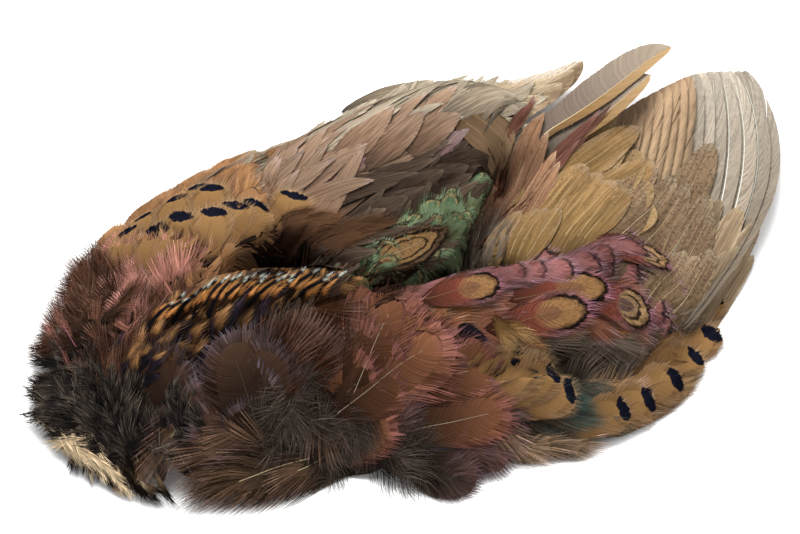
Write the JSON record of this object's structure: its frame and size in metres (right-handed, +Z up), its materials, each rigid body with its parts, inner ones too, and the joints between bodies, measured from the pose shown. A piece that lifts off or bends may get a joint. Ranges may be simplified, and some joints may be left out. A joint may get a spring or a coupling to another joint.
{
  "type": "pheasant skin",
  "caption": "Dried skin of a cock pheasant lying back up, with dark neck, chestnut breast, golden spotted flanks, green rump and folded wings; a display or fly-tying skin.",
  "frame": {"origin": "on the flat underside of the hide, under the middle of the back", "axes": "+X to the viewer's right, from the neck end to the wing-tip end; +Y away from the viewer; +Z up, out of the back"},
  "size_m": [0.3146, 0.2245, 0.061],
  "materials": {
    "dried_hide": "dry, dull",
    "neck_feather": "soft, slight sheen",
    "ring_feather": "soft, matt",
    "breast_feather": "soft, slight purple sheen",
    "mantle_feather": "soft, slight sheen",
    "flank_feather": "soft, matt",
    "rump_feather": "soft, green sheen",
    "covert_feather": "soft, slight purple sheen",
    "flight_feather": "smooth, matt"
  },
  "bodies": {
    "root": {"hide": "dried_hide", "right_wing_arm": "dried_hide", "left_wing_arm": "dried_hide", "neck_hackle": "neck_feather", "neck_ring": "ring_feather", "left_breast_plumage": "breast_feather", "right_breast_plumage": "breast_feather", "mantle_plumage": "mantle_feather", "left_flank_plumage": "flank_feather", "right_flank_plumage": "flank_feather", "left_side_plumage": "flank_feather", "rump_plumage": "rump_feather", "lower_back_plumage": "rump_feather", "right_wing_coverts": "covert_feather", "left_wing_coverts": "covert_feather", "right_secondary_1": "flight_feather", "right_secondary_2": "flight_feather", "right_secondary_3": "flight_feather", "right_secondary_4": "flight_feather", "right_secondary_5": "flight_feather", "right_secondary_6": "flight_feather", "right_secondary_7": "flight_feather", "right_secondary_8": "flight_feather", "right_secondary_9": "flight_feather", "right_primary_1": "flight_feather", "right_primary_2": "flight_feather", "right_primary_3": "flight_feather", "right_primary_4": "flight_feather", "right_primary_5": "flight_feather", "right_primary_6": "flight_feather", "right_primary_7": "flight_feather", "left_secondary_1": "flight_feather", "left_secondary_2": "flight_feather", "left_secondary_3": "flight_feather", "left_secondary_4": "flight_feather", "left_primary_1": "flight_feather", "left_primary_2": "flight_feather", "left_primary_3": "flight_feather", "left_primary_4": "flight_feather", "left_primary_5": "flight_feather", "worn_tail_covert": "flight_feather", "short_tail_covert": "flight_feather", "right_tertial_1": "covert_feather", "right_tertial_2": "covert_feather", "right_tertial_3": "covert_feather", "right_tertial_4": "covert_feather", "right_tertial_5": "covert_feather"}
  },
  "joints": []
}
